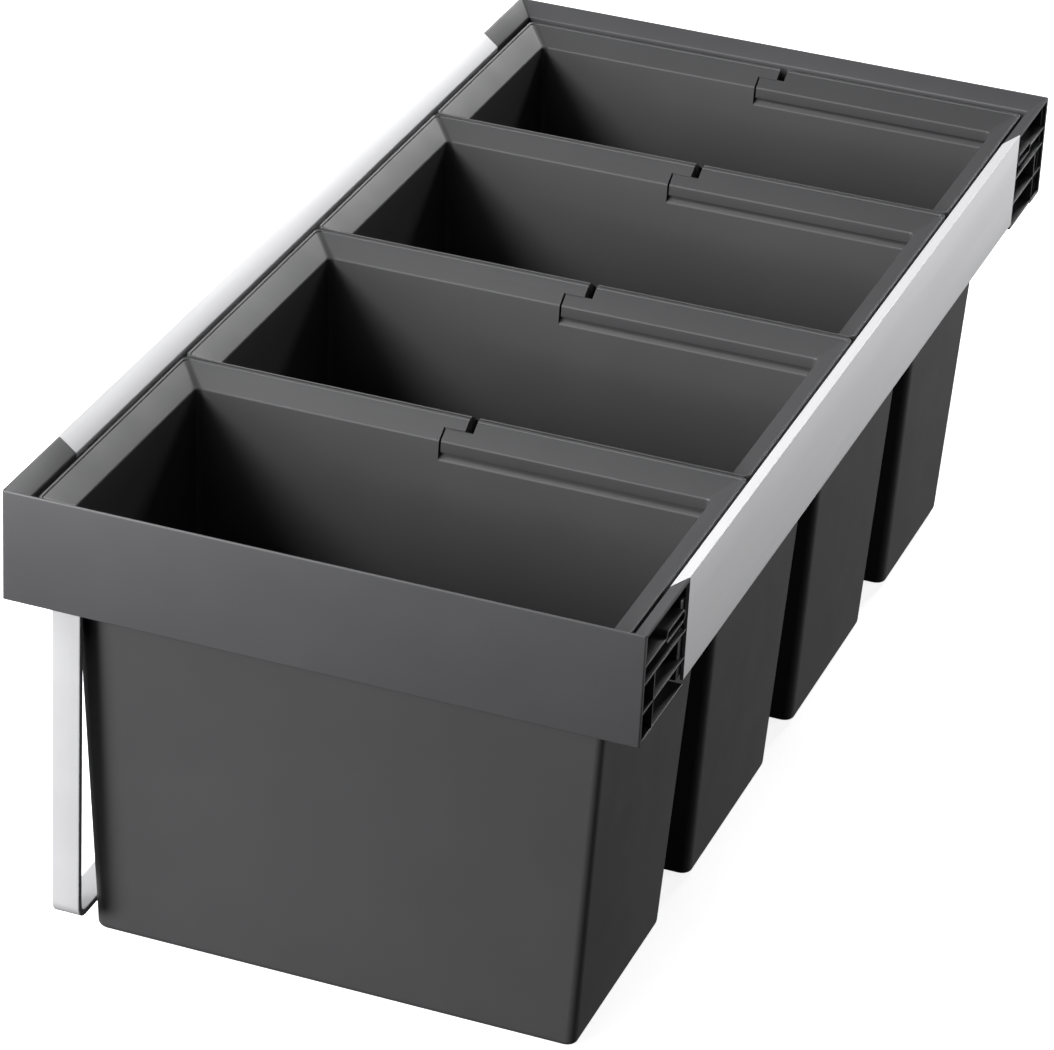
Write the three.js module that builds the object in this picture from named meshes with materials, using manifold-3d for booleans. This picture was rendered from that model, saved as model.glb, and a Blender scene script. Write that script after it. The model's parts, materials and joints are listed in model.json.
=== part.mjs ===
// Four-bin pull-out waste sorter: a long frame that hangs four lift-out bins with bail handles.
// Millimetres, +Z up, X across the short front panel, Y along the row of bins.
import * as THREE from 'three';
import { mergeVertices } from 'three/addons/utils/BufferGeometryUtils.js';
import Module from 'manifold-3d';

const wasm = await Module();
wasm.setup();

// Overall size
const WIDTH = 406;
const LENGTH = 864;
const TOP = 324;

// Frame: two end mouldings joined by two rails, all with a top that slopes down to the inside
const PANEL_DEPTH = 75;
const ARM_DEPTH = 73.8;
const RAIL_DEPTH = 70;
const ARM_LENGTH = 76.5;
const PANEL_WALL = 3;
const SLOPE_WIDTH = 12;
const SLOPE_DROP = 9.5;
const SLOPE_UNDER = SLOPE_DROP + 2;
const LIP_DROP = SLOPE_DROP + 4;
const RAIL_WALL = 2.2;
const WALL_START = 10;
const LEDGE_END = 22;
const LEDGE_TOP = 30.3;
const LEDGE_BOTTOM = 32.5;
const RAIL_CLEARANCE = 0.3;

// Bins: three wide ones and a narrower one at the rear
const ROW_START = 15;
const PITCH = 214.3;
const LAST_PITCH = 191;
const BIN_GAP = 2;
const BIN_HALF_X = 188.4;
const RIDGE_DROP = 10.5;
const RIM_WIDTH = 17;
const RIM_DROP = 11.3;
const LOW_RIM_DROP = 26.6;
const LOW_RIM_BEND = 8;
const LOW_MOUTH_DROP = 34.9;
const SKIRT_BOTTOM = 30;
const BIN_WALL = 2.2;
const BASE_HALF_X = 160.8;
const BASE_INSET_Y = 27.8;
const FLOOR = 2.6;

// Bail handle and its pivot
const PIVOT_DROP = 20;
const PIN_RADIUS = 1.7;
const BORE_RADIUS = 1.95;
const TONGUE_END = 6.6;
const HANDLE_END = 12.2;
const RIM_END = -7.4;
const HANDLE_TONGUE_END = -6;
const SEAM_OUTER = 8.3;
const SEAM_INNER = 8.7;
const HANDLE_SKIRT = 24;
const HANDLE_LIP = 29.8;
const HANDLE_WALL = 2.2;

// Flat bar under the left side
const STRAP_X0 = -181.2;
const STRAP_X1 = -162.2;
const STRAP_THICKNESS = 4.5;
const STRAP_Y = 407.75;
const STRAP_BEND = 8.75;
const STRAP_LOW = TOP - 305.75;
const STRAP_HIGH = TOP - 35.05;
const STRAP_TAB_END = 428.4;
const SCREW_X = (STRAP_X0 + STRAP_X1) / 2;
const SCREW_Y = 424.6;

const CORNER_STEPS = 4;

const PLASTIC = { color: 0x58585a, roughness: 0.55, metalness: 0 };
const BIN_PLASTIC = { color: 0x4f4f51, roughness: 0.6, metalness: 0 };
const ALUMINIUM = { color: 0xd6d6d9, roughness: 0.35, metalness: 0.9 };
const STEEL = { color: 0xb9bbbe, roughness: 0.3, metalness: 1 };

function toSolid(geometry) {
  const bare = geometry.index ? geometry.clone() : geometry;
  bare.deleteAttribute('normal');
  bare.deleteAttribute('uv');
  const merged = mergeVertices(bare, 1e-4);
  return new wasm.Manifold(new wasm.Mesh({
    numProp: 3,
    vertProperties: new Float32Array(merged.attributes.position.array),
    triVerts: new Uint32Array(merged.index.array),
  }));
}

function box(x0, x1, y0, y1, z0, z1) {
  const g = new THREE.BoxGeometry(x1 - x0, y1 - y0, z1 - z0);
  g.translate((x0 + x1) / 2, (y0 + y1) / 2, (z0 + z1) / 2);
  return toSolid(g);
}

// Cylinder along Y between y0 and y1
function rodY(radius, x, z, y0, y1, steps = 24) {
  const g = new THREE.CylinderGeometry(radius, radius, y1 - y0, steps);
  g.translate(x, (y0 + y1) / 2, z);
  return toSolid(g);
}

// Cylinder along Z between z0 and z1
function rodZ(radius, x, y, z0, z1, steps = 24) {
  const g = new THREE.CylinderGeometry(radius, radius, z1 - z0, steps);
  g.rotateX(Math.PI / 2);
  g.translate(x, y, (z0 + z1) / 2);
  return toSolid(g);
}

function union(...parts) {
  return parts.reduce((sum, part) => sum.add(part));
}

// Points of a rectangle with rounded corners, counter-clockwise seen from above
function roundedLoop(halfX, halfY, radius, centreY, z) {
  const points = [];
  for (let corner = 0; corner < 4; corner++) {
    const sx = corner === 0 || corner === 3 ? 1 : -1;
    const sy = corner < 2 ? 1 : -1;
    for (let k = 0; k <= CORNER_STEPS; k++) {
      const angle = (corner + k / CORNER_STEPS) * Math.PI / 2;
      points.push([
        sx * (halfX - radius) + radius * Math.cos(angle),
        centreY + sy * (halfY - radius) + radius * Math.sin(angle),
        z,
      ]);
    }
  }
  return points;
}

// Closed skin through the loops: joined end to end as a ring, or capped at the first and last loop
function skin(loops, ring) {
  const count = loops[0].length;
  const index = [];
  const bands = ring ? loops.length : loops.length - 1;
  for (let i = 0; i < bands; i++) {
    const a = i * count;
    const b = ((i + 1) % loops.length) * count;
    for (let j = 0; j < count; j++) {
      const k = (j + 1) % count;
      index.push(a + j, b + j, b + k, a + j, b + k, a + k);
    }
  }
  if (!ring) {
    const last = (loops.length - 1) * count;
    for (let j = 1; j < count - 1; j++) {
      index.push(0, j, j + 1);
      index.push(last, last + j + 1, last + j);
    }
  }
  const g = new THREE.BufferGeometry();
  g.setAttribute('position', new THREE.Float32BufferAttribute(loops.flat(2), 3));
  g.setIndex(index);
  return toSolid(g);
}

// Mitred ring of constant section; a profile point is [distance in from the outer edge, drop from the top].
// The profile runs up the inner face, out along the top and down the outer face.
function mitredRing(profile, halfX, halfY, centreY, cornerRadius) {
  const loops = profile.map(([inset, drop]) =>
    roundedLoop(halfX - inset, halfY - inset, cornerRadius(inset), centreY, TOP - drop));
  return skin(loops, true);
}

// Prism along X from a polygon of [y, z] points
function prismX(points, x0, x1) {
  const shape = new THREE.Shape(points.map(([y, z]) => new THREE.Vector2(y, z)));
  const g = new THREE.ExtrudeGeometry(shape, { depth: x1 - x0, bevelEnabled: false });
  g.applyMatrix4(new THREE.Matrix4().makeBasis(
    new THREE.Vector3(0, 1, 0), new THREE.Vector3(0, 0, 1), new THREE.Vector3(1, 0, 0)));
  g.translate(x0, 0, 0);
  return toSolid(g);
}

// Prism along Y from a polygon of [x, z] points
function prismY(points, y0, y1) {
  const shape = new THREE.Shape(points.map(([x, z]) => new THREE.Vector2(x, z)));
  const g = new THREE.ExtrudeGeometry(shape, { depth: y1 - y0, bevelEnabled: false });
  g.applyMatrix4(new THREE.Matrix4().makeBasis(
    new THREE.Vector3(1, 0, 0), new THREE.Vector3(0, 0, 1), new THREE.Vector3(0, -1, 0)));
  g.translate(0, y1, 0);
  return toSolid(g);
}

const HX = WIDTH / 2;
const HY = LENGTH / 2;
const JOINT_Y = HY - ARM_LENGTH;
const FAR = 1000;

// Oblong loop in a side pocket of an arm: a rounded frame with an open middle
function clipLoop(x0, x1, y0, y1, z0, z1) {
  const oblong = (inset) => {
    const r = (z1 - z0) / 2 - inset;
    const shape = new THREE.Shape();
    shape.absarc(y0 + r + inset, (z0 + z1) / 2, r, Math.PI / 2, 1.5 * Math.PI, false);
    shape.absarc(y1 - r - inset, (z0 + z1) / 2, r, -Math.PI / 2, Math.PI / 2, false);
    return shape.getPoints(6).map((p) => [p.x, p.y]);
  };
  return prismX(oblong(0), x0, x1).subtract(prismX(oblong(1.5), x0 - 1, x1 + 1));
}

// Ribs, flange and rail tongue of the arm on the +X side of the front moulding
function armDetails() {
  const wall = HX - SLOPE_WIDTH;
  const x0 = HX - WALL_START - 0.2;
  const x1 = HX - 0.3;
  const front = -HY + PANEL_WALL - 0.5;
  const shelf = (y0, y1, drop) => box(x0, x1, y0, y1, TOP - drop - 0.8, TOP - drop + 0.8);
  const tongue = prismX([
    [-JOINT_Y - 6, TOP - ARM_DEPTH], [-JOINT_Y, TOP - ARM_DEPTH], [-JOINT_Y + 12, TOP - RAIL_DEPTH],
    [-JOINT_Y + 34, TOP - RAIL_DEPTH + 2], [-JOINT_Y + 34, TOP - 34], [-JOINT_Y - 6, TOP - 34],
  ], wall + 1.5, HX - 2.7);
  return union(
    box(wall, HX - WALL_START, front, -JOINT_Y, TOP - ARM_DEPTH, TOP - LEDGE_BOTTOM + 1),
    shelf(front, -JOINT_Y - 35, 23),
    shelf(front, -JOINT_Y, 35.3),
    shelf(front, -JOINT_Y, 54.6),
    box(x0, x1, -HY + 21.9, -HY + 23.5, TOP - ARM_DEPTH, TOP - 35),
    box(x0, HX, front, -HY + 23, TOP - PANEL_DEPTH, TOP - PANEL_DEPTH + 1.6),
    box(x0, HX, -HY + 22, -JOINT_Y, TOP - ARM_DEPTH, TOP - ARM_DEPTH + 1.6),
    clipLoop(x0, x1, -HY + 40, -HY + 72.5, TOP - 27.4, TOP - 18.6),
    tongue,
    box(wall + 1.5, HX - 2.7, -JOINT_Y - 6, -JOINT_Y + 34, TOP - LEDGE_TOP + 0.5, TOP - LIP_DROP - 0.5),
  );
}

// End moulding at the front: plate, sloped top, inner wall, ledge for the bins and two ribbed arms
function endMoulding() {
  const edge = () => 1;
  const keepArms = box(-FAR, FAR, -FAR, -JOINT_Y, -FAR, FAR);
  const top = mitredRing([
    [SLOPE_WIDTH, LEDGE_BOTTOM], [SLOPE_WIDTH, SLOPE_DROP], [1.3, 0.5], [0.7, 0], [0, 0.9],
    [0, 3.2], [2.2, 4.4], [WALL_START, SLOPE_UNDER], [WALL_START, LEDGE_BOTTOM],
  ], HX, HY, 0, edge).intersect(keepArms);
  const ledge = mitredRing([
    [LEDGE_END, LEDGE_BOTTOM], [LEDGE_END, LEDGE_TOP], [WALL_START, LEDGE_TOP],
    [WALL_START, LEDGE_BOTTOM],
  ], HX, HY, 0, edge).intersect(keepArms);
  const plate = mitredRing([
    [PANEL_WALL, PANEL_DEPTH], [PANEL_WALL, 3], [0, 1.5], [0, PANEL_DEPTH],
  ], HX, HY, 0, edge).intersect(box(-FAR, FAR, -FAR, -HY + PANEL_WALL, -FAR, FAR));
  const web = box(-190, 190, -HY + PANEL_WALL - 0.5, -HY + WALL_START + 0.5,
    TOP - LEDGE_BOTTOM, TOP - LEDGE_TOP);
  const arm = armDetails();
  const boss = box(SCREW_X - 4.5, SCREW_X + 4.5, -HY + PANEL_WALL - 0.5, -HY + WALL_START + 0.5,
    TOP - LEDGE_BOTTOM, TOP - 22.5);
  const hole = rodZ(2.35, SCREW_X, -SCREW_Y, TOP - LEDGE_BOTTOM - 1, TOP - 23.6);
  return union(top, ledge, plate, web, arm, arm.mirror([1, 0, 0]), boss).subtract(hole);
}

// Rail on the +X side, one section from arm to arm
function rail() {
  const section = [
    [0, 0.9], [0, RAIL_DEPTH], [RAIL_WALL, RAIL_DEPTH], [RAIL_WALL, LEDGE_BOTTOM],
    [LEDGE_END, LEDGE_BOTTOM], [LEDGE_END, LEDGE_TOP], [RAIL_WALL, LEDGE_TOP], [RAIL_WALL, 4.4],
    [10.2, SLOPE_UNDER], [10.2, LIP_DROP], [SLOPE_WIDTH, LIP_DROP], [SLOPE_WIDTH, SLOPE_DROP], [1.3, 0.5], [0.7, 0],
  ].map(([inset, drop]) => [HX - inset, TOP - drop]);
  return prismY(section, -JOINT_Y + RAIL_CLEARANCE, JOINT_Y - RAIL_CLEARANCE);
}

// Flat bar: screwed under the front ledge, down, back along the left side and up to the rear ledge
function strap() {
  const path = [];
  const arc = (y, z, from, to) => {
    for (let k = 0; k <= 6; k++) {
      const a = THREE.MathUtils.degToRad(from + (to - from) * k / 6);
      path.push([y + STRAP_BEND * Math.cos(a), z + STRAP_BEND * Math.sin(a), Math.cos(a), Math.sin(a)]);
    }
  };
  path.push([-STRAP_TAB_END, STRAP_HIGH, 0, 1]);
  arc(-STRAP_Y - STRAP_BEND, STRAP_HIGH - STRAP_BEND, 90, 0);
  const front = path.length;
  arc(-STRAP_Y + STRAP_BEND, STRAP_LOW + STRAP_BEND, 180, 270);
  const half = STRAP_THICKNESS / 2;
  const side = (sign) => path.map(([y, z, ny, nz], i) => {
    const turn = i < front ? sign : -sign;
    return [y + turn * half * ny, z + turn * half * nz];
  });
  const outline = (points) => points.concat(points.map(([y, z]) => [-y, z]).reverse());
  const polygon = outline(side(1)).concat(outline(side(-1)).reverse());
  const hole = (y) => rodZ(2.4, SCREW_X, y, STRAP_HIGH - 5, STRAP_HIGH + 5);
  return prismX(polygon, STRAP_X0, STRAP_X1).subtract(hole(-SCREW_Y)).subtract(hole(SCREW_Y));
}

// Pan-head screw, head down, that holds one tab of the flat bar
function strapScrew(y) {
  const under = STRAP_HIGH - STRAP_THICKNESS / 2 - 0.3;
  const profile = [[0, -3], [2.2, -3], [3.4, -2.4], [4, -1.3], [4, 0], [2, 0], [2, 12.4], [0, 12.4]];
  const g = new THREE.LatheGeometry(profile.map(([r, z]) => new THREE.Vector2(r, z)), 24);
  g.rotateX(Math.PI / 2);
  g.translate(SCREW_X, y, under);
  const slot = box(SCREW_X - 3, SCREW_X + 3, y - 0.5, y + 0.5, under - 4, under - 2);
  return toSolid(g).subtract(slot);
}

const rimDrop = (inset) => RIDGE_DROP + inset * RIM_DROP / RIM_WIDTH;

function binSize(number) {
  const wide = number < 4;
  const pitch = wide ? PITCH : LAST_PITCH;
  const start = -HY + ROW_START + (number - 1) * PITCH;
  return { centre: start + pitch / 2, half: (pitch - BIN_GAP) / 2 };
}

// Drop of the lowered rim that leaves room for the handle
function lowDrop(inset) {
  const beyond = Math.max(0, inset - LOW_RIM_BEND);
  return LOW_RIM_DROP + beyond * (LOW_MOUTH_DROP - LOW_RIM_DROP) / (RIM_WIDTH - LOW_RIM_BEND);
}

// Bowl of a bin whose rim follows the given drop function
function bowl(half, centre, drop) {
  const rimZ = TOP - rimDrop(RIM_WIDTH);
  const innerX = (z) => BASE_HALF_X - BIN_WALL
    + (BIN_HALF_X - RIM_WIDTH - BASE_HALF_X + BIN_WALL) * z / rimZ;
  const innerY = (z) => half - BASE_INSET_Y - BIN_WALL + (BASE_INSET_Y + BIN_WALL - RIM_WIDTH) * z / rimZ;
  const wall = (z, out, radius) => roundedLoop(innerX(z) + out, innerY(z) + out, radius, centre, z);
  const rim = (inset, fall, radius) =>
    roundedLoop(BIN_HALF_X - inset, half - inset, radius, centre, TOP - fall);
  const edge = TOP - drop(RIM_WIDTH);
  return skin([
    wall(FLOOR, -4, 3), wall(FLOOR + 1.2, -1.2, 4), wall(FLOOR + 4, 0, 5),
    wall(edge, 0, 3.5),
    rim(LOW_RIM_BEND, drop(LOW_RIM_BEND), 3.4),
    rim(2, drop(2), 3.4), rim(1.1, drop(0.4), 3.8),
    rim(0.3, drop(0.6), 4.2), rim(0, drop(2.4) + 0.4, 4.5),
    rim(0, SKIRT_BOTTOM, 4.5), rim(BIN_WALL, SKIRT_BOTTOM, 3.4),
    rim(BIN_WALL, drop(BIN_WALL) + 2.7, 3.4),
    rim(LOW_RIM_BEND, drop(LOW_RIM_BEND) + 2.7, 3.4),
    wall(edge - 1.3, BIN_WALL, 5.5), wall(5, BIN_WALL, 6.5), wall(1.5, BIN_WALL - 1.1, 5.5),
    wall(0, BIN_WALL - 4.4, 4),
  ], false);
}

// Runs the same cut or fill on the front and the rear rim of a bin
function bothRims(half, centre, make) {
  return union(...[-1, 1].map((side) => {
    const at = (inset) => centre + side * (half - inset);
    return make((a, b) => [Math.min(at(a), at(b)), Math.max(at(a), at(b))]);
  }));
}

// Bin: full rim on the left half, a lowered rim under the handle on the right half, pivot tongues
function bin(number) {
  const { centre, half } = binSize(number);
  const left = bowl(half, centre, rimDrop).intersect(box(-FAR, RIM_END, -FAR, FAR, -FAR, FAR));
  const right = bowl(half, centre, lowDrop).intersect(box(RIM_END - 2.5, FAR, -FAR, FAR, -FAR, FAR));
  const fill = mitredRing([
    [RIM_WIDTH + 0.2, 36.5], [RIM_WIDTH, rimDrop(RIM_WIDTH)], [2, rimDrop(2)], [1.1, rimDrop(0.4)],
    [0.3, rimDrop(0.6)], [0, rimDrop(2.4)], [0, 27],
  ], BIN_HALF_X, half, centre, () => 3);
  const web = fill.intersect(box(RIM_END - 2.5, RIM_END, -FAR, FAR, -FAR, FAR));
  const tongues = fill.intersect(bothRims(half, centre, (span) =>
    box(RIM_END - 2.5, TONGUE_END, ...span(-1, SEAM_OUTER), TOP - 60, TOP)));
  const bores = bothRims(half, centre, (span) =>
    rodY(BORE_RADIUS, 0, TOP - PIVOT_DROP, ...span(2.6, SEAM_OUTER + 0.5)));
  return union(left, right, web, tongues).subtract(bores);
}

// Bail handle at rest: a U flush with the rim, open to the left, with a tongue at each end
function handle(number) {
  const { centre, half } = binSize(number);
  const crest = [[2, rimDrop(2)], [1.1, rimDrop(0.4)], [0.3, rimDrop(0.6)], [0, rimDrop(2.4)]];
  const under = (inset) => rimDrop(inset) + 2.7;
  const ring = (profile) => mitredRing(profile, BIN_HALF_X, half, centre, () => 3);
  const lip = RIM_WIDTH - HANDLE_WALL;
  const shell = ring([
    [RIM_WIDTH, HANDLE_LIP], [RIM_WIDTH, rimDrop(RIM_WIDTH)], ...crest, [0, HANDLE_SKIRT],
    [HANDLE_WALL, HANDLE_SKIRT], [HANDLE_WALL, under(HANDLE_WALL)], [lip, under(lip)],
    [lip, HANDLE_LIP],
  ]).intersect(box(HANDLE_END, FAR, -FAR, FAR, -FAR, FAR));
  const block = ring([
    [RIM_WIDTH, HANDLE_LIP], [RIM_WIDTH, rimDrop(RIM_WIDTH)], ...crest, [0, HANDLE_SKIRT],
    [lip, HANDLE_SKIRT], [lip, HANDLE_LIP],
  ]);
  const ends = block.intersect(box(HANDLE_END, HANDLE_END + 2.2, -FAR, FAR, -FAR, FAR));
  const tongues = block.intersect(bothRims(half, centre, (span) =>
    box(HANDLE_TONGUE_END, HANDLE_END + 2.2, ...span(SEAM_INNER, RIM_WIDTH + 1), TOP - 60, TOP)));
  const bores = bothRims(half, centre, (span) =>
    rodY(BORE_RADIUS, 0, TOP - PIVOT_DROP, ...span(SEAM_INNER - 0.5, 10.9)));
  return union(shell, ends, tongues).subtract(bores);
}

// Pivot pin of a handle, in the front rim (side -1) or the rear rim (side 1)
function pin(number, side) {
  const { centre, half } = binSize(number);
  const ends = [2.9, 10.6].map((inset) => centre + side * (half - inset));
  return rodY(PIN_RADIUS, 0, TOP - PIVOT_DROP, Math.min(...ends), Math.max(...ends));
}

// The shapes above stand on z = 0 around y = 0; the part's origin is the middle of the front plate's outer face
const ORIGIN_SHIFT = new THREE.Vector3(0, HY, PANEL_DEPTH / 2 - TOP);

const group = new THREE.Group();

function addNode(name, shape, finish) {
  const { vertProperties, triVerts } = shape.getMesh();
  const g = new THREE.BufferGeometry();
  g.setAttribute('position', new THREE.Float32BufferAttribute(vertProperties, 3));
  g.setIndex(Array.from(triVerts));
  g.computeVertexNormals();
  const mesh = new THREE.Mesh(g, new THREE.MeshStandardMaterial(finish));
  mesh.position.copy(ORIGIN_SHIFT);
  mesh.name = name;
  group.add(mesh);
}

addNode('front_end_panel', endMoulding(), PLASTIC);
addNode('rear_end_panel', endMoulding().mirror([0, 1, 0]), PLASTIC);
addNode('rail_right', rail(), ALUMINIUM);
addNode('rail_left', rail().mirror([1, 0, 0]), ALUMINIUM);
addNode('strap', strap(), STEEL);
addNode('strap_screw_front', strapScrew(-SCREW_Y), STEEL);
addNode('strap_screw_rear', strapScrew(SCREW_Y), STEEL);
for (let n = 1; n <= 4; n++) {
  addNode(`bin_${n}`, bin(n), BIN_PLASTIC);
  addNode(`handle_${n}`, handle(n), BIN_PLASTIC);
  addNode(`pin_${n}_front`, pin(n, -1), STEEL);
  addNode(`pin_${n}_rear`, pin(n, 1), STEEL);
}

export default group;
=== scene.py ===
"""Four-bin pull-out waste sorter: the finished surfaces, materials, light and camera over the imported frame.

The row frame is in metres, +Z up, +X to the right of the front panel and +Y along the row of bins.
Drops are measured down from the frame's top edge, insets inwards from an outer edge.
"""

import json
from math import cos, pi, radians, sin

import bmesh
import bpy
import numpy as np
from mathutils import Matrix, Vector


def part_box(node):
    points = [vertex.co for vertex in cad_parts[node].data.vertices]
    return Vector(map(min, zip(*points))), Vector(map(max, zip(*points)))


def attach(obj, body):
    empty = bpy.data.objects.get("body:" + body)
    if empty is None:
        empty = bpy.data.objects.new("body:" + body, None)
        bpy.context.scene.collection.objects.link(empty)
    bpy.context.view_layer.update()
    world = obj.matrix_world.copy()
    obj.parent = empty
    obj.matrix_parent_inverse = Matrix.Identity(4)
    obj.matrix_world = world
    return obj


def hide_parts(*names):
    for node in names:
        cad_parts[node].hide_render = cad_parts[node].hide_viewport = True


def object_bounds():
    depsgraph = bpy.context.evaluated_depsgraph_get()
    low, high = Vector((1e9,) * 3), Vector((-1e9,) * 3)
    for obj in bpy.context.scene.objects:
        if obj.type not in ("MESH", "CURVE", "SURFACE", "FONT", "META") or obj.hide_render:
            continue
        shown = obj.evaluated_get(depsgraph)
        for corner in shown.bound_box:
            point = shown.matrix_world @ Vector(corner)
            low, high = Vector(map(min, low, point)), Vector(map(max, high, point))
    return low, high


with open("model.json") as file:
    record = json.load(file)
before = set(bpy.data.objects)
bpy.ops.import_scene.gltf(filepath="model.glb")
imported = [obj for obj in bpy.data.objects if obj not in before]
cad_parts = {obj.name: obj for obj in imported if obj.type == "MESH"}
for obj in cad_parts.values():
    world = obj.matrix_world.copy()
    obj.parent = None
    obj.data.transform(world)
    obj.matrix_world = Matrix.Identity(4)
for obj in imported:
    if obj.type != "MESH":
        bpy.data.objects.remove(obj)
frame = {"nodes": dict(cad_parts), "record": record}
cad_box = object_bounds()

MM = 0.001

# The frame's outline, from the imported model
PANEL_LO, PANEL_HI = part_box("front_end_panel")
REAR_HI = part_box("rear_end_panel")[1]
TOP = PANEL_HI.z
HALF_WIDTH = PANEL_HI.x
LENGTH = REAR_HI.y
PANEL_DEPTH = TOP - PANEL_LO.z
ARM_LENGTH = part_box("rail_right")[0].y - 0.3 * MM
RAIL_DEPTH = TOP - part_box("rail_right")[0].z

# End mouldings and rails
SLOPE_WIDTH = 12 * MM
SLOPE_DROP = 9.5 * MM
SLOPE_UNDER = SLOPE_DROP + 2 * MM
LIP_DROP = SLOPE_DROP + 4 * MM
PLATE = 3.2 * MM
FRAME_CORNER = 1 * MM
ARM_DEPTH = 73.8 * MM
ARM_FOOT = 23 * MM
POCKET_BACK = 10 * MM
RIB = 1.5 * MM
LOOP_DROP = 23 * MM
SHELF_DROPS = (35.3 * MM, 54.6 * MM)
TONGUE_IN_RAIL = 34 * MM
TONGUE_IN_ARM = 6 * MM
LEDGE_TOP = 30.3 * MM
LEDGE_BOTTOM = 32.5 * MM
LEDGE_END = 22 * MM
RAIL_WALL = 2.2 * MM

# Bins and handles
RIDGE_DROP = 10.5 * MM
RIDGE_ROUND = 1.3 * MM
GROOVE = 2.1 * MM
GROOVE_WIDTH = 0.6 * MM
GROOVE_DEPTH = 0.4 * MM
RIM_WIDTH = 17 * MM
RIM_FALL = 11.3 * MM
LOW_RIM_DROP = 26.6 * MM
LOW_RIM_BEND = 8 * MM
LOW_MOUTH_DROP = 34.9 * MM
SKIRT_DROP = 30 * MM
BIN_WALL = 2.2 * MM
BIN_FLOOR = 2.6 * MM
FLOOR_MIDDLE = 60 * MM
BIN_CORNER = 4 * MM
FOOT_INSET = 27.7 * MM
RIM_END = -7.4 * MM
TONGUE_END = 6.6 * MM
HANDLE_TONGUE_END = -6 * MM
HANDLE_END = 12.2 * MM
HANDLE_BLOCK = 2.2 * MM
SEAM_OUTER = 8.3 * MM
SEAM_INNER = 8.7 * MM
HANDLE_SKIRT = 24 * MM
HANDLE_LIP = 29.8 * MM
HANDLE_WALL = 2.2 * MM

HAIR = 0.05 * MM
SAME_PLACE = 0.002 * MM


# ---------------------------------------------------------------- surfaces


def softened(corners, steps=4, closed=True):
    """A section's outline with its corners rounded off. Each corner is a row of values, the last of
    them the length cut from its two sides; between the two cuts the outline follows the parabola
    (1-s)^2 start + 2s(1-s) corner + s^2 end. An open outline keeps its two end points as they are."""
    corners = np.array(corners, float)
    points, cut = corners[:, :-1], corners[:, -1:]
    s = np.linspace(0, 1, steps + 1)[None, :, None]

    def towards(neighbour):
        way = neighbour - points
        reach = np.linalg.norm(way[:, :2], axis=1, keepdims=True)
        return points + way * np.minimum(cut / np.maximum(reach, 1e-9), 0.499)

    start = towards(np.roll(points, 1, axis=0))[:, None]
    end = towards(np.roll(points, -1, axis=0))[:, None]
    curve = (1 - s) ** 2 * start + 2 * s * (1 - s) * points[:, None] + s ** 2 * end
    if closed:
        return curve.reshape(-1, points.shape[1])
    inner = curve[1:-1].reshape(-1, points.shape[1])
    return np.concatenate([points[:1], inner, points[-1:]])


def corner(half_x, half_y, centre_y, quarter, steps=10):
    """Plan columns of one rounded corner. Quarter 0 is the +X +Y corner, and they count anticlockwise
    from above. A column is (base, inset direction, radius direction): its point is
    base + inset * first + radius * second, which puts every inset on a true arc of its own radius."""
    angle = (quarter + np.linspace(0, 1, steps + 1)) * pi / 2
    sign = np.array([(1, 1), (-1, 1), (-1, -1), (1, -1)][quarter], float)
    base = np.tile(sign * (half_x, half_y) + (0, centre_y), (steps + 1, 1))
    radial = np.stack([np.cos(angle), np.sin(angle)], axis=1) - sign
    return base, np.tile(-sign, (steps + 1, 1)), radial


def station(x, y, inward):
    """One plan column on a straight run, at (x, y) on the outer edge, with its inset running along inward."""
    return np.array([[x, y]], float), np.array([inward], float), np.zeros((1, 2))


def lofted(stretches, ring):
    """A surface carried along a plan path that runs anticlockwise from above. Each stretch is
    (plan columns, section), a section row being (inset, drop, plan radius). The section climbs the
    inner face and comes down the outer one. A ring path closes on itself and its open sections are
    capped; an open path has closed sections and capped ends.
    Point = base + inset * inward + radius * radial in plan, at the height top - drop."""
    base, inward, radial = (np.concatenate([s[0][k] for s in stretches]) for k in range(3))
    rows = np.stack([s[1] for s in stretches for _ in range(len(s[0][0]))], axis=1)
    plan = base + rows[..., :1] * inward + rows[..., 2:3] * radial
    points = np.concatenate([plan, TOP - rows[..., 1:2]], axis=2)
    return netted(points, closed_rows=not ring, closed_columns=ring)


def netted(points, closed_rows, closed_columns):
    """(points, faces) of a grid of rows by columns, joined up where it is closed and capped where it
    is open."""
    rows, columns = points.shape[:2]
    number = np.arange(rows * columns).reshape(rows, columns)
    a = number if closed_rows else number[:-1]
    b = np.roll(number, -1, axis=0) if closed_rows else number[1:]
    if not closed_columns:
        a, b = a[:, :-1], b[:, :-1]
        ahead = np.roll(number, -1, axis=1)[:, :-1]
    else:
        ahead = np.roll(number, -1, axis=1)
    c = np.roll(ahead, -1, axis=0) if closed_rows else ahead[1:]
    d = ahead if closed_rows else ahead[:-1]
    faces = np.stack([a, b, c, d], axis=-1).reshape(-1, 4).tolist()
    if closed_columns and not closed_rows:
        faces += [number[0].tolist(), number[-1][::-1].tolist()]
    elif closed_rows and not closed_columns:
        faces += [number[:, 0][::-1].tolist(), number[:, -1].tolist()]
    return points.reshape(-1, 3), faces


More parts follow.
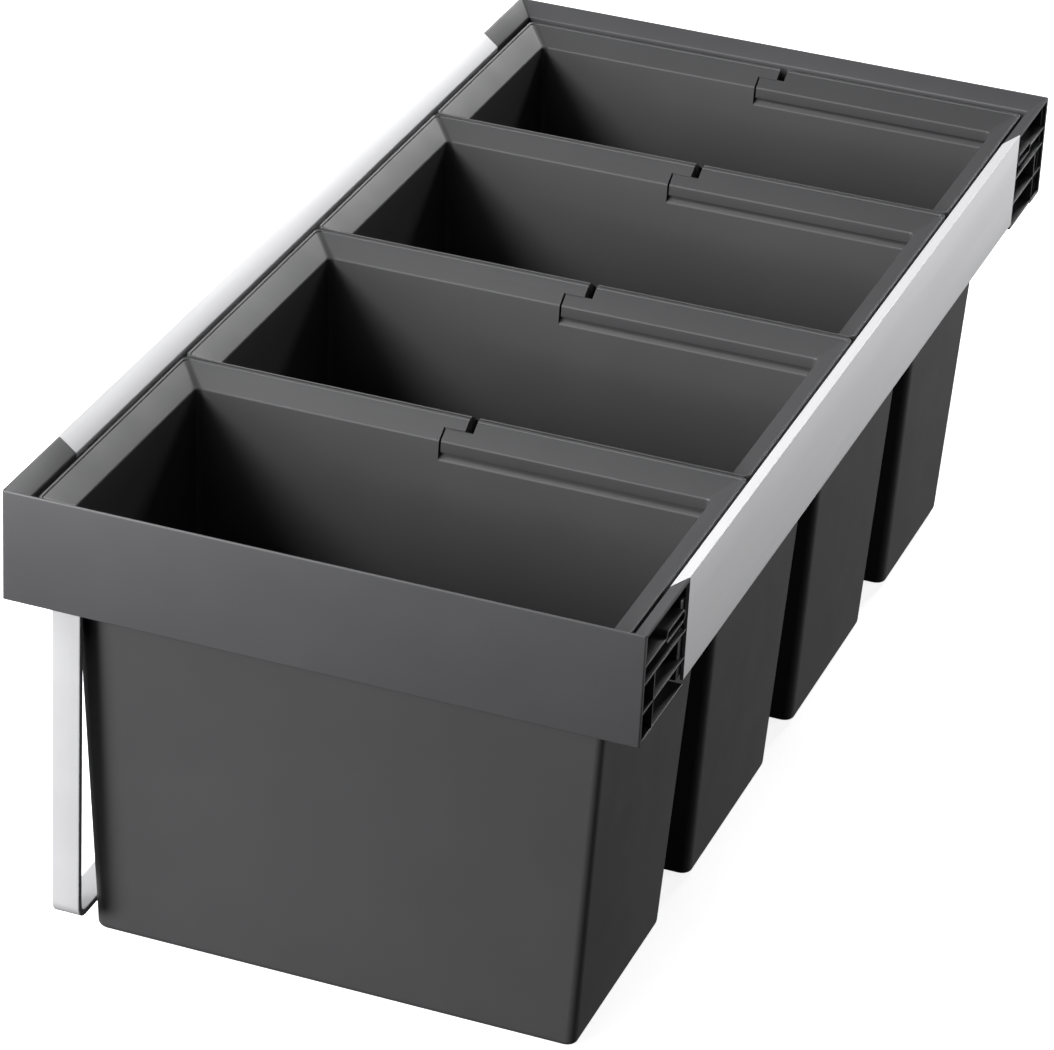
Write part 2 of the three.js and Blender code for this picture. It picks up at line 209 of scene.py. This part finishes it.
def block(lo, hi, radius=0.35 * MM, steps=2):
    """A bar with rounded edges: each octant of a small sphere of that radius is moved out to its own
    corner of the bar, so point = corner * (half size - radius) + radius * direction."""
    lo, hi = np.array(lo, float), np.array(hi, float)
    turn = np.linspace(0, pi / 2, steps + 1)
    around = np.concatenate([turn + k * pi / 2 for k in range(4)])
    sx = np.repeat([1, -1, -1, 1], steps + 1)
    sy = np.repeat([1, 1, -1, -1], steps + 1)
    tilt = np.concatenate([turn - pi / 2, turn])
    sz = np.repeat([-1, 1], steps + 1)
    level, height = np.cos(tilt)[:, None], np.sin(tilt)[:, None]
    direction = np.stack(np.broadcast_arrays(
        level * np.cos(around), level * np.sin(around), height), axis=-1)
    side = np.stack(np.broadcast_arrays(sx, sy, sz[:, None]), axis=-1)
    points = (lo + hi) / 2 + side * ((hi - lo) / 2 - radius) + radius * direction
    points, faces = netted(points, closed_rows=False, closed_columns=True)
    return points, [f[::-1] for f in faces]


def carried(path, up, section, closed):
    """A bar carried along a path in an upright plane along Y. Section rows are (across, out):
    point = path + out * up, and across runs along X."""
    path, up, section = (np.asarray(v, float) for v in (path, up, section))
    yz = path[None] + section[:, None, 1:] * up[None]
    x = np.broadcast_to(section[:, None, :1], yz.shape[:2] + (1,))
    points = np.concatenate([x, yz], axis=2)
    number = np.arange(points.shape[0] * points.shape[1]).reshape(points.shape[:2])
    if closed:
        a, b = number, np.roll(number, -1, axis=0)
        c, d = np.roll(b, -1, axis=1), np.roll(a, -1, axis=1)
        faces = np.stack([a, b, c, d], axis=-1).reshape(-1, 4).tolist()
        return points.reshape(-1, 3), faces
    return netted(points, closed_rows=True, closed_columns=False)


def turned(profile, centre, sides=40):
    """A round part turned about a vertical axis: each (radius, height) row becomes a circle of that
    radius."""
    profile = np.array(profile, float)
    angle = np.arange(sides) * 2 * pi / sides
    radius, height = profile[:, :1], profile[:, 1:]
    circles = np.broadcast_arrays(radius * np.cos(angle), radius * np.sin(angle), height)
    points = np.stack(circles, axis=-1) + np.array(centre)
    points, faces = netted(points, closed_rows=False, closed_columns=True)
    return points, [f[::-1] for f in faces]


def mirrored(shell, axis, about=0.0):
    """The same shell reflected in the plane axis = about, with its faces turned back to point outwards."""
    points, faces = shell
    points = points.copy()
    points[:, axis] = 2 * about - points[:, axis]
    return points, [f[::-1] for f in faces]


def fitted(name, shells, material, nodes, edge=0.0, bend=35):
    """Makes one piece of one or more closed shells, which stands for CAD nodes and rides on their body.
    Edges sharper than bend degrees stay crisp, with a small rounding of width edge."""
    starts = np.cumsum([0] + [len(points) for points, _ in shells])
    points = np.concatenate([points for points, _ in shells])
    faces = [[v + start for v in face] for (_, shell), start in zip(shells, starts) for face in shell]
    mesh = bpy.data.meshes.new(name)
    mesh.from_pydata(points.tolist(), [], faces)
    mesh.validate()
    tidy = bmesh.new()
    tidy.from_mesh(mesh)
    bmesh.ops.remove_doubles(tidy, verts=tidy.verts, dist=SAME_PLACE)
    bmesh.ops.dissolve_degenerate(tidy, edges=tidy.edges, dist=SAME_PLACE)
    tidy.to_mesh(mesh)
    tidy.free()
    mesh.shade_smooth()
    mesh.set_sharp_from_angle(angle=radians(bend))
    piece = bpy.data.objects.new(name, mesh)
    bpy.context.scene.collection.objects.link(piece)
    mesh.materials.append(material)
    if edge:
        rounding = piece.modifiers.new("edge rounding", "BEVEL")
        rounding.width = edge
        rounding.segments = 2
        rounding.limit_method = "ANGLE"
        rounding.angle_limit = radians(bend)
        rounding.harden_normals = True
    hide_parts(*nodes)
    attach(piece, body_of(nodes[0]))
    return piece


def body_of(node):
    """The body that the record puts a node on."""
    bodies = frame["record"]["behaviour"]["bodies"]
    return next(body for body, members in bodies.items() if node in members)


# ---------------------------------------------------------------- materials


class Finish:
    """A node material, built step by step on Object coordinates."""

    def __init__(self, name, roughness, metallic=0.0, specular=0.5):
        self.material = bpy.data.materials.new(name)
        self.material.use_nodes = True
        self.nodes = self.material.node_tree.nodes
        self.links = self.material.node_tree.links
        self.shader = self.nodes["Principled BSDF"]
        self.shader.inputs["Roughness"].default_value = roughness
        self.shader.inputs["Metallic"].default_value = metallic
        self.shader.inputs["Specular IOR Level"].default_value = specular
        self.place = self.nodes.new("ShaderNodeTexCoord").outputs["Object"]

    def stretched(self, scale):
        """Object coordinates stretched by three factors."""
        mapping = self.nodes.new("ShaderNodeMapping")
        mapping.inputs["Scale"].default_value = scale
        self.links.new(self.place, mapping.inputs["Vector"])
        return mapping.outputs["Vector"]

    def noise(self, scale, detail, stretch=(1, 1, 1)):
        """Noise with that many cells to the metre, from 0 to 1."""
        node = self.nodes.new("ShaderNodeTexNoise")
        node.inputs["Scale"].default_value = scale
        node.inputs["Detail"].default_value = detail
        self.links.new(self.stretched(stretch), node.inputs["Vector"])
        return node.outputs["Fac"]

    def ranged(self, value, low, high, socket):
        """Links a shader socket to a 0.3 to 0.7 value spread over low to high."""
        node = self.nodes.new("ShaderNodeMapRange")
        node.inputs["From Min"].default_value = 0.3
        node.inputs["From Max"].default_value = 0.7
        node.inputs["To Min"].default_value = low
        node.inputs["To Max"].default_value = high
        self.links.new(value, node.inputs["Value"])
        self.links.new(node.outputs["Result"], self.shader.inputs[socket])

    def tinted(self, factor, first, second):
        """Colour that goes from first to second as the factor goes from 0 to 1."""
        ramp = self.nodes.new("ShaderNodeValToRGB")
        ramp.color_ramp.elements[0].color = (*first, 1)
        ramp.color_ramp.elements[1].color = (*second, 1)
        ramp.color_ramp.elements[0].position = 0.3
        ramp.color_ramp.elements[1].position = 0.7
        self.links.new(factor, ramp.inputs["Fac"])
        self.links.new(ramp.outputs["Color"], self.shader.inputs["Base Color"])

    def grained(self, height, depth, strength):
        """Bump of that depth in metres."""
        bump = self.nodes.new("ShaderNodeBump")
        bump.inputs["Distance"].default_value = depth
        bump.inputs["Strength"].default_value = strength
        self.links.new(height, bump.inputs["Height"])
        self.links.new(bump.outputs["Normal"], self.shader.inputs["Normal"])


def moulded_plastic(name, dark, light, roughness, grain):
    """Matt moulded plastic: a fine spark-eroded grain, and slow changes of colour and gloss from the
    flow in the mould."""
    finish = Finish(name, roughness, specular=0.4)
    finish.tinted(finish.noise(9, 2), dark, light)
    finish.ranged(finish.noise(35, 2), roughness - 0.015, roughness + 0.02, "Roughness")
    finish.grained(finish.noise(1500, 2), grain, 0.35)
    return finish.material


def drawn_aluminium(name):
    """Satin anodised extrusion: fine die lines along Y over an even light grey."""
    finish = Finish(name, 0.5, metallic=0.3)
    finish.tinted(finish.noise(30, 2, (1, 0.05, 1)), (0.70, 0.70, 0.715), (0.74, 0.74, 0.755))
    finish.ranged(finish.noise(900, 3, (1, 0.012, 1)), 0.47, 0.53, "Roughness")
    finish.grained(finish.noise(1400, 2, (1, 0.008, 1)), 0.01 * MM, 0.2)
    return finish.material


def coated_steel(name):
    """Smooth light silver coating with the faint waviness of a sprayed film."""
    finish = Finish(name, 0.38, metallic=0.0, specular=0.5)
    finish.tinted(finish.noise(25, 2), (0.50, 0.50, 0.51), (0.53, 0.53, 0.54))
    finish.ranged(finish.noise(140, 3), 0.33, 0.43, "Roughness")
    finish.grained(finish.noise(420, 2), 0.03 * MM, 0.2)
    return finish.material


def plain_steel(name):
    """Bright turned steel of the screws and pins."""
    finish = Finish(name, 0.3, metallic=1.0)
    finish.tinted(finish.noise(200, 2), (0.50, 0.50, 0.51), (0.60, 0.60, 0.61))
    finish.ranged(finish.noise(1800, 2, (1, 1, 0.05)), 0.25, 0.38, "Roughness")
    return finish.material


GRAIN = 0.05 * MM
PANEL_PLASTIC = moulded_plastic(
    "panel plastic", (0.059, 0.059, 0.062), (0.066, 0.066, 0.069), 0.48, GRAIN)
BIN_PLASTIC = moulded_plastic(
    "bin plastic", (0.055, 0.055, 0.057), (0.060, 0.060, 0.062), 0.50, GRAIN)
HANDLE_PLASTIC = moulded_plastic(
    "handle plastic", (0.053, 0.053, 0.055), (0.058, 0.058, 0.060), 0.48, GRAIN)
ALUMINIUM = drawn_aluminium("satin aluminium")
STRAP_COAT = coated_steel("silver coat")
STEEL = plain_steel("plain steel")


# ---------------------------------------------------------------- end mouldings


def section(corners):
    """Closed section of the frame from (inset, drop, cut) corners, with one plan radius throughout."""
    rows = np.insert(np.array(corners, float), 2, FRAME_CORNER, axis=1)
    return softened(rows)


def end_moulding():
    """Shells of the front end moulding: plate, sloped top and arms in one, then the ledge, and the
    ribs, clip loop and tongues of both arms."""
    edge = 0.5 * MM
    plate_section = section([
        (SLOPE_WIDTH, LEDGE_BOTTOM, edge), (SLOPE_WIDTH, SLOPE_DROP, 0.9 * MM), (0, 0, 2.2 * MM),
        (0, PANEL_DEPTH, 0.7 * MM), (PLATE, PANEL_DEPTH, 0.7 * MM), (PLATE, 6.5 * MM, edge),
        (POCKET_BACK, LIP_DROP, edge), (POCKET_BACK, LEDGE_BOTTOM - HAIR, edge / 2),
        (POCKET_BACK + 1 * MM, LEDGE_BOTTOM, edge / 4)])
    arm_section = section([
        (SLOPE_WIDTH, ARM_DEPTH, edge), (SLOPE_WIDTH, SLOPE_DROP, 0.9 * MM), (0, 0, 2.2 * MM),
        (0, 3.2 * MM, edge), (2.2 * MM, 4.4 * MM, edge), (POCKET_BACK, SLOPE_UNDER, edge),
        (POCKET_BACK, ARM_DEPTH - RIB, edge), (0.3 * MM, ARM_DEPTH - RIB, edge), (0.3 * MM, ARM_DEPTH, edge)])
    half_y = LENGTH / 2
    left = station(-HALF_WIDTH, ARM_LENGTH, (1, 0))
    right = station(HALF_WIDTH, ARM_LENGTH, (-1, 0))
    front_left = corner(HALF_WIDTH, half_y, half_y, 2, 4)
    front_right = corner(HALF_WIDTH, half_y, half_y, 3, 4)
    first = tuple(part[:1] for part in front_left)
    last = tuple(part[-1:] for part in front_right)
    body = lofted([
        (left, arm_section), (first, arm_section), (front_left, plate_section),
        (front_right, plate_section), (last, arm_section), (right, arm_section)], ring=False)
    ledge_section = section([
        (LEDGE_END, LEDGE_BOTTOM, edge), (LEDGE_END, LEDGE_TOP, edge),
        (SLOPE_WIDTH - 1.3 * MM, LEDGE_TOP, edge), (SLOPE_WIDTH - 1.3 * MM, LEDGE_BOTTOM, edge)])
    ledge = lofted([
        (left, ledge_section), (front_left, ledge_section), (front_right, ledge_section),
        (right, ledge_section)], ring=False)
    ribs = arm_ribs()
    return [body, ledge] + ribs + [mirrored(rib, 0) for rib in ribs]


def arm_ribs():
    """Shells in the pocket of the right arm: the plate's square end, foot, web, the rail's two
    tongues, clip loop and shelf ribs."""
    back = HALF_WIDTH - POCKET_BACK - 0.5 * MM
    face = HALF_WIDTH - 0.3 * MM

    def shelf(y0, y1, drop):
        return block((back, y0, TOP - drop - RIB / 2), (face, y1, TOP - drop + RIB / 2))

    inner = PLATE - 1 * MM
    plate_end = block((back, 0.1 * MM, TOP - PANEL_DEPTH + 0.1 * MM),
                      (HALF_WIDTH - 0.05 * MM, PLATE + 0.2 * MM, TOP - 2.5 * MM), 0.6 * MM, 3)
    foot = block((back, inner, TOP - PANEL_DEPTH + 0.05 * MM),
                 (HALF_WIDTH - 0.1 * MM, ARM_FOOT, TOP - ARM_DEPTH + RIB))
    web = block((back, ARM_FOOT - RIB, TOP - ARM_DEPTH + 0.3 * MM), (face, ARM_FOOT, TOP - 35 * MM))
    tongue_x = (HALF_WIDTH - SLOPE_WIDTH + 1.5 * MM, HALF_WIDTH - 2.7 * MM)
    tongue_y = (ARM_LENGTH - TONGUE_IN_ARM, ARM_LENGTH + TONGUE_IN_RAIL)
    tongue = block((tongue_x[0], tongue_y[0], TOP - RAIL_DEPTH + 2 * MM),
                   (tongue_x[1], tongue_y[1], TOP - 34 * MM), 1 * MM, 3)
    finger = block((tongue_x[0], tongue_y[0], TOP - LEDGE_TOP + 0.5 * MM),
                   (tongue_x[1], tongue_y[1], TOP - LIP_DROP - 0.5 * MM), 1 * MM, 3)
    shelves = [shelf(inner, 41.5 * MM, LOOP_DROP)]
    shelves += [shelf(inner, ARM_LENGTH - HAIR, drop) for drop in SHELF_DROPS]
    return [plate_end, foot, web, tongue, finger, clip_loop(back, face)] + shelves


def clip_loop(back, face):
    """Oblong loop in the arm's pocket: two straight runs and two half circles, with a rounded square
    section."""
    radius, y0, y1, z = 3.6 * MM, 43.6 * MM, 68.9 * MM, TOP - LOOP_DROP
    half_turn = np.linspace(pi / 2, 3 * pi / 2, 13)
    out = np.stack([np.cos(half_turn), np.sin(half_turn)], axis=1)
    path = np.concatenate([out * radius + (y0, z), -out * radius + (y1, z)])
    up = np.concatenate([out, -out])
    half, thick = (face - back) / 2, 0.75 * MM
    centre = (face + back) / 2
    bar = softened([
        (centre + half, -thick, 0.3 * MM), (centre + half, thick, 0.3 * MM),
        (centre - half, thick, 0.3 * MM), (centre - half, -thick, 0.3 * MM)], 3)
    return carried(path, up, bar, closed=True)


moulding = end_moulding()
fitted("front_moulding", moulding, PANEL_PLASTIC, ["front_end_panel"], edge=0.3 * MM)
fitted("rear_moulding", [mirrored(shell, 1, LENGTH / 2) for shell in moulding], PANEL_PLASTIC,
       ["rear_end_panel"], edge=0.3 * MM)


# ---------------------------------------------------------------- rails


def rail_extrusion():
    """Right rail: one section with a sloped top, a lip, a shelf for the rims and a tall outer wall."""
    edge = 0.4 * MM
    rail_section = section([
        (LEDGE_END, LEDGE_BOTTOM, edge), (LEDGE_END, LEDGE_TOP, edge), (RAIL_WALL, LEDGE_TOP, edge),
        (RAIL_WALL, 4.4 * MM, edge), (10.2 * MM, SLOPE_UNDER, edge), (10.2 * MM, LIP_DROP, edge),
        (SLOPE_WIDTH, LIP_DROP, edge), (SLOPE_WIDTH, SLOPE_DROP, 0.5 * MM), (0, 0, 0.35 * MM),
        (0, RAIL_DEPTH, 0.7 * MM), (RAIL_WALL, RAIL_DEPTH, 0.7 * MM), (RAIL_WALL, LEDGE_BOTTOM, edge)])
    lo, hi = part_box("rail_right")
    return lofted([(station(HALF_WIDTH, lo.y, (-1, 0)), rail_section),
                   (station(HALF_WIDTH, hi.y, (-1, 0)), rail_section)], ring=False)


rail = rail_extrusion()
fitted("right_rail", [rail], ALUMINIUM, ["rail_right"], edge=0.15 * MM)
fitted("left_rail", [mirrored(rail, 0)], ALUMINIUM, ["rail_left"], edge=0.15 * MM)


# ---------------------------------------------------------------- flat bar and its screws


def strap_bar():
    """Flat bar bent as a U with a short tab at each end: straight runs joined by quarter bends of one
    radius."""
    lo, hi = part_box("strap")
    thick, bend = 4.5 * MM, 8.75 * MM
    half = thick / 2
    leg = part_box("strap_screw_front")[1].y + 13.2 * MM
    quarter = np.linspace(0, pi / 2, 11)
    out = np.stack([np.cos(quarter), np.sin(quarter)], axis=1)
    high = hi.z - half
    low = lo.z + half
    top_turn = (out * bend + (leg - bend, high - bend))[::-1]
    low_turn = -out * bend + (leg + bend, low + bend)
    front = np.concatenate([[(lo.y, high)], top_turn, low_turn])
    front_up = np.concatenate([[(0, 1)], out[::-1], out])
    path = np.concatenate([front, (front * (-1, 1) + (LENGTH, 0))[::-1]])
    up = np.concatenate([front_up, (front_up * (-1, 1))[::-1]])
    bar = softened([
        (lo.x, half, 1.1 * MM), (hi.x, half, 1.1 * MM), (hi.x, -half, 1.1 * MM), (lo.x, -half, 1.1 * MM)], 5)
    return carried(path, up, bar, closed=False)


fitted("hanging_strap", [strap_bar()], STRAP_COAT, ["strap"], edge=0.3 * MM)


def pan_screw(node):
    """Pan-head screw, head down: a domed head with a drive recess, and a shank rounded at its tip."""
    lo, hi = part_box(node)
    centre = ((lo.x + hi.x) / 2, (lo.y + hi.y) / 2, 0)
    radius = (hi.x - lo.x) / 2
    shoulder = lo.z + 3 * MM
    profile = softened([
        (0.05 * MM, lo.z + 1.6 * MM, 0), (1.5 * MM, lo.z + 1.4 * MM, 0.2 * MM), (1.7 * MM, lo.z, 0.2 * MM),
        (radius, lo.z + 0.2 * MM, 1.6 * MM), (radius, shoulder, 0.2 * MM), (2 * MM, shoulder, 0.2 * MM),
        (2 * MM, hi.z, 0.5 * MM), (0.05 * MM, hi.z, 0)], 4, closed=False)
    return turned(profile, centre)


for end in ("front", "rear"):
    fitted(f"pan_screw_{end}", [pan_screw(f"strap_screw_{end}")], STEEL, [f"strap_screw_{end}"])


# ---------------------------------------------------------------- bins and handles


def rim_drop(inset):
    """Drop of the sloped rim at an inset from the ridge."""
    return RIDGE_DROP + inset * RIM_FALL / RIM_WIDTH


def low_drop(inset):
    """Drop of the lowered rim that leaves room for the handle."""
    fall = (LOW_MOUTH_DROP - LOW_RIM_DROP) / (RIM_WIDTH - LOW_RIM_BEND)
    return LOW_RIM_DROP + max(0, inset - LOW_RIM_BEND) * fall


def crest(drop, ridge, round_off, depth):
    """Rows over the outer part of a rim: a fine groove of that depth, then the rounded ridge."""
    middle = GROOVE - GROOVE_WIDTH / 2
    end = GROOVE - GROOVE_WIDTH
    return [(GROOVE, drop(GROOVE), BIN_CORNER, HAIR), (middle, drop(middle) + depth, BIN_CORNER, 0.15 * MM),
            (end, drop(end) - depth / 3, BIN_CORNER, 0.1 * MM), (0, ridge, BIN_CORNER, round_off)]


def bin_section(mouth, middle, ledge, top, ridge, round_off, depth=0.0):
    """Section of a bin from the inside of its floor over the rim to its underside. mouth, middle,
    ledge and ridge are the drops of the rim at its inner edge, on either side of the seam, and at its
    crest, and top is the drop function of its outer part."""
    floor_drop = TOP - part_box("bin_1")[0].z
    taper = (FOOT_INSET - RIM_WIDTH + BIN_WALL) / (floor_drop - rim_drop(RIM_WIDTH))

    def inner(drop):
        return RIM_WIDTH + taper * (drop - rim_drop(RIM_WIDTH))

    under = SKIRT_DROP - 0.1 * MM
    return softened([
        (FLOOR_MIDDLE, floor_drop - BIN_FLOOR, 5 * MM, 0),
        (inner(floor_drop - BIN_FLOOR), floor_drop - BIN_FLOOR, 5 * MM, 5 * MM),
        (inner(mouth), mouth, 4.5 * MM, 1.1 * MM),
        (SEAM_INNER, middle, BIN_CORNER, HAIR),
        (SEAM_OUTER, ledge, BIN_CORNER, HAIR),
        *crest(top, ridge, round_off, depth),
        (0, SKIRT_DROP, BIN_CORNER, 0.5 * MM),
        (BIN_WALL, SKIRT_DROP, 3.5 * MM, 0.5 * MM),
        (LOW_RIM_BEND + 1 * MM, under, 3.5 * MM, 0.5 * MM),
        (inner(36 * MM) - BIN_WALL, 36.5 * MM, 5 * MM, 1 * MM),
        (FOOT_INSET, floor_drop, 6.5 * MM, 5 * MM),
        (FLOOR_MIDDLE, floor_drop, 5 * MM, 0),
    ], 6, closed=False)


def handle_section(tongue, hollow):
    """Closed section of a handle: a tongue keeps only the inner half of the rim, and the arms are
    hollow below."""
    edge = 0.6 * MM
    lip = RIM_WIDTH - HANDLE_WALL
    roof = (lambda inset: rim_drop(inset) + 2.7 * MM) if hollow else (lambda inset: HANDLE_SKIRT)
    inner = [(RIM_WIDTH, HANDLE_LIP, edge), (RIM_WIDTH, rim_drop(RIM_WIDTH), 1.1 * MM)]
    if tongue:
        step = SEAM_INNER + 0.25 * MM * np.arange(5)
        drops = rim_drop(SEAM_INNER) + 0.3 * MM * np.arange(5)
        outer = [(step[4], rim_drop(step[4]), 0.5 * MM)]
        outer += [(SEAM_INNER, drop, HAIR) for drop in drops[1:]]
        outer += [(SEAM_INNER, HANDLE_SKIRT, edge), (step[1], HANDLE_SKIRT, edge / 4),
                  (step[4], HANDLE_SKIRT, edge / 4)]
    else:
        outer = [(SEAM_INNER, rim_drop(SEAM_INNER), HAIR)]
        ridge = crest(rim_drop, RIDGE_DROP, RIDGE_ROUND, GROOVE_DEPTH)
        outer += [(inset, drop, cut) for inset, drop, _, cut in ridge]
        outer += [(0, HANDLE_SKIRT, edge), (HANDLE_WALL, HANDLE_SKIRT, edge),
                  (HANDLE_WALL + HAIR, roof(HANDLE_WALL), edge)]
    rows = inner + outer + [(lip, roof(lip), edge), (lip, HANDLE_LIP, edge)]
    rows = np.insert(np.array(rows, float), 2, BIN_CORNER, axis=1)
    return softened(rows, 6)


def make_bin(number):
    """One bin: a ring path round the rim whose section steps down where the handle lies and keeps a
    pivot tongue beyond the step. Its handle is an open path with the same plan."""
    lo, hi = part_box(f"bin_{number}")
    centre, half_x, half_y = (lo.y + hi.y) / 2, hi.x, (hi.y - lo.y) / 2
    full = bin_section(rim_drop(RIM_WIDTH), rim_drop(SEAM_INNER), rim_drop(SEAM_OUTER), rim_drop,
                       RIDGE_DROP, RIDGE_ROUND, GROOVE_DEPTH)
    pivot = bin_section(LOW_MOUTH_DROP, low_drop(SEAM_INNER), rim_drop(SEAM_OUTER), rim_drop,
                        RIDGE_DROP, RIDGE_ROUND, GROOVE_DEPTH)
    low = bin_section(LOW_MOUTH_DROP, low_drop(SEAM_INNER), low_drop(SEAM_OUTER), low_drop,
                      LOW_RIM_DROP, 0.8 * MM)

    def front(x):
        return station(x, centre - half_y, (0, 1))

    def rear(x):
        return station(x, centre + half_y, (0, -1))

    corners = [corner(half_x, half_y, centre, quarter) for quarter in range(4)]
    bowl = lofted([
        (corners[0], low), (rear(TONGUE_END), low), (rear(TONGUE_END), pivot), (rear(RIM_END), pivot),
        (rear(RIM_END), full), (corners[1], full), (corners[2], full), (front(RIM_END), full),
        (front(RIM_END), pivot), (front(TONGUE_END), pivot), (front(TONGUE_END), low), (corners[3], low),
    ], ring=True)
    fitted(f"bin_{number}_bowl", [bowl], BIN_PLASTIC, [f"bin_{number}"])

    tongue = handle_section(tongue=True, hollow=False)
    solid = handle_section(tongue=False, hollow=False)
    shell = handle_section(tongue=False, hollow=True)
    inner_end = HANDLE_END + HANDLE_BLOCK
    bail = lofted([
        (front(HANDLE_TONGUE_END), tongue), (front(HANDLE_END), tongue), (front(HANDLE_END), solid),
        (front(inner_end), solid), (front(inner_end), shell), (corners[3], shell), (corners[0], shell),
        (rear(inner_end), shell), (rear(inner_end), solid), (rear(HANDLE_END), solid),
        (rear(HANDLE_END), tongue), (rear(HANDLE_TONGUE_END), tongue),
    ], ring=False)
    fitted(f"handle_{number}_bail", [bail], HANDLE_PLASTIC, [f"handle_{number}"])


for number in range(1, 5):
    make_bin(number)
    for end in ("front", "rear"):
        pin = frame["nodes"][f"pin_{number}_{end}"]
        pin.data.materials.clear()
        pin.data.materials.append(STEEL)


# ---------------------------------------------------------------- floor, light and camera


def lamp(name, place, target, size, power):
    """Soft light at place, aimed at target, with its power in watts."""
    data = bpy.data.lights.new(name, "AREA")
    data.shape = "RECTANGLE"
    data.size, data.size_y = size
    data.energy = power
    light = bpy.data.objects.new(name, data)
    light.location = place
    light.visible_camera = False
    light.rotation_euler = (Vector(target) - Vector(place)).to_track_quat("-Z", "Y").to_euler()
    bpy.context.scene.collection.objects.link(light)


def studio_floor(height):
    """Wide pale floor under the bins."""
    mesh = bpy.data.meshes.new("floor")
    reach = 12.0
    mesh.from_pydata([(-reach, -reach, height), (reach, -reach, height), (reach, reach, height),
                      (-reach, reach, height)], [], [(0, 1, 2, 3)])
    finish = Finish("pale floor", 0.9)
    finish.tinted(finish.noise(3, 2), (0.80, 0.80, 0.80), (0.82, 0.82, 0.82))
    finish.shader.inputs["Emission Color"].default_value = (1, 1, 1, 1)
    finish.shader.inputs["Emission Strength"].default_value = 0.85
    mesh.materials.append(finish.material)
    floor = bpy.data.objects.new("floor", mesh)
    bpy.context.scene.collection.objects.link(floor)
    floor.visible_diffuse = False
    floor.visible_glossy = False


def camera(place, azimuth, elevation, roll, lens):
    """Camera looking along the azimuth (0 is +Y) and down by the elevation, turned by the roll about
    its axis."""
    a, e, r = radians(azimuth), radians(elevation), radians(roll)
    forward = Vector((-sin(a) * cos(e), cos(a) * cos(e), -sin(e)))
    right = Vector((cos(a), sin(a), 0))
    up = right.cross(forward)
    side = right * cos(r) + up * sin(r)
    above = up * cos(r) - right * sin(r)
    data = bpy.data.cameras.new("camera")
    data.lens = lens
    data.sensor_width = 36
    data.clip_end = 60
    view = bpy.data.objects.new("camera", data)
    turn = Matrix((side, above, -forward)).transposed().to_4x4()
    view.matrix_world = Matrix.Translation(place) @ turn
    bpy.context.scene.collection.objects.link(view)
    bpy.context.scene.camera = view


studio_floor(cad_box[0].z - 0.5 * MM)
lamp("left", (-1.6, -1.6, 0.1), (0, 0.1, -0.12), (1.0, 1.0), 53)
lamp("high left", (-1.4, -0.2, 1.3), (0, 0.4, 0), (0.8, 0.8), 45)
lamp("front left", (-2.4, -3.4, 1.6), (0, 0.4, 0), (1.5, 1.5), 150)
lamp("front", (-1.0, -4.0, 1.8), (0, 0.4, 0), (1.5, 1.5), 22)
lamp("low right", (2.6, 0.9, -0.1), (0, LENGTH / 2, -0.1), (1.6, 0.8), 15)
lamp("behind right", (2.2, 2.6, -0.15), (0, LENGTH / 2, -0.1), (1.2, 0.5), 63)
lamp("behind", (0.2, 3.2, 1.7), (0, 0.3, 0), (1.0, 0.6), 62)

world = bpy.data.worlds.new("studio")
bpy.context.scene.world = world
world.use_nodes = True
world.node_tree.nodes["Background"].inputs["Color"].default_value = (1, 1, 1, 1)
world.node_tree.nodes["Background"].inputs["Strength"].default_value = 0.01
bpy.context.scene.view_settings.view_transform = "Standard"

camera(place=(0.924, -2.272, 1.3875), azimuth=19.32, elevation=28.3, roll=3.11, lens=164.57)
